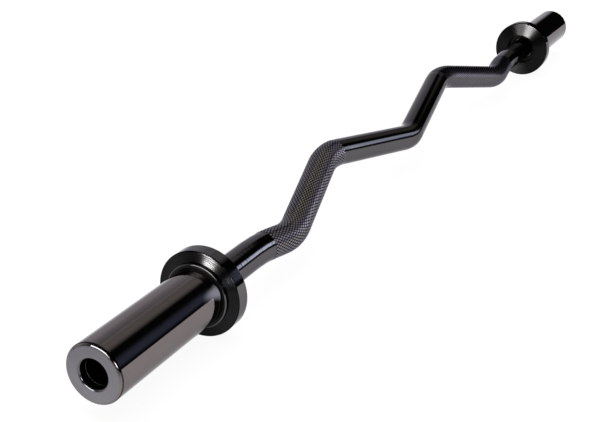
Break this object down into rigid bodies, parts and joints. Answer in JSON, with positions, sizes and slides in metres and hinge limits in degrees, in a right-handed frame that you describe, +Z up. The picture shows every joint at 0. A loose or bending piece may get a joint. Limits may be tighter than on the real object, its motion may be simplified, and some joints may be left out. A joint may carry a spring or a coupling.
{
  "type": "ez curl bar",
  "caption": "Cambered curl bar: a W-shaped knurled grip shaft with free-spinning sleeves and inner collars that take weight plates for arm curls.",
  "frame": {"origin": "on the floor below the middle of the bar, midway between the sleeves' end faces and under the sleeve axis", "axes": "+X along the bar towards the right sleeve, +Y to the side that the inner grips' peaks lean to, +Z up"},
  "size_m": [1.194, 0.076, 0.076],
  "materials": {
    "shaft_plating": "gloss black plating, knurled on the grips",
    "sleeve_plating": "gloss black plating over turned steel",
    "collar_plating": "gloss black plating over turned steel",
    "bush_bronze": "oiled sintered bronze",
    "seal_rubber": "matt black rubber",
    "spring_steel": "phosphated spring steel",
    "washer_steel": "zinc plated steel",
    "bolt_steel": "black oxide steel"
  },
  "bodies": {
    "grip_shaft": {"shaft": "shaft_plating", "thrust_washer_left": "washer_steel", "web_washer_left": "washer_steel", "retaining_washer_left": "washer_steel", "lock_washer_left": "spring_steel", "retaining_bolt_left": "bolt_steel", "thrust_washer_right": "washer_steel", "web_washer_right": "washer_steel", "retaining_washer_right": "washer_steel", "lock_washer_right": "spring_steel", "retaining_bolt_right": "bolt_steel"},
    "sleeve_unit_left": {"sleeve_left": "sleeve_plating", "flange_left": "collar_plating", "shoulder_ring_left": "collar_plating", "inner_bush_left": "bush_bronze", "outer_bush_left": "bush_bronze", "dust_seal_left": "seal_rubber", "snap_ring_left": "spring_steel"},
    "sleeve_unit_right": {"sleeve_right": "sleeve_plating", "flange_right": "collar_plating", "shoulder_ring_right": "collar_plating", "inner_bush_right": "bush_bronze", "outer_bush_right": "bush_bronze", "dust_seal_right": "seal_rubber", "snap_ring_right": "spring_steel"}
  },
  "joints": [
    {"name": "sleeve_spin_left", "type": "hinge", "parent": "grip_shaft", "child": "sleeve_unit_left", "pos_m": [-0.497, 0, 0.038], "axis": [1, 0, 0], "continuous": true},
    {"name": "sleeve_spin_right", "type": "hinge", "parent": "grip_shaft", "child": "sleeve_unit_right", "pos_m": [0.497, 0, 0.038], "axis": [1, 0, 0], "continuous": true}
  ]
}
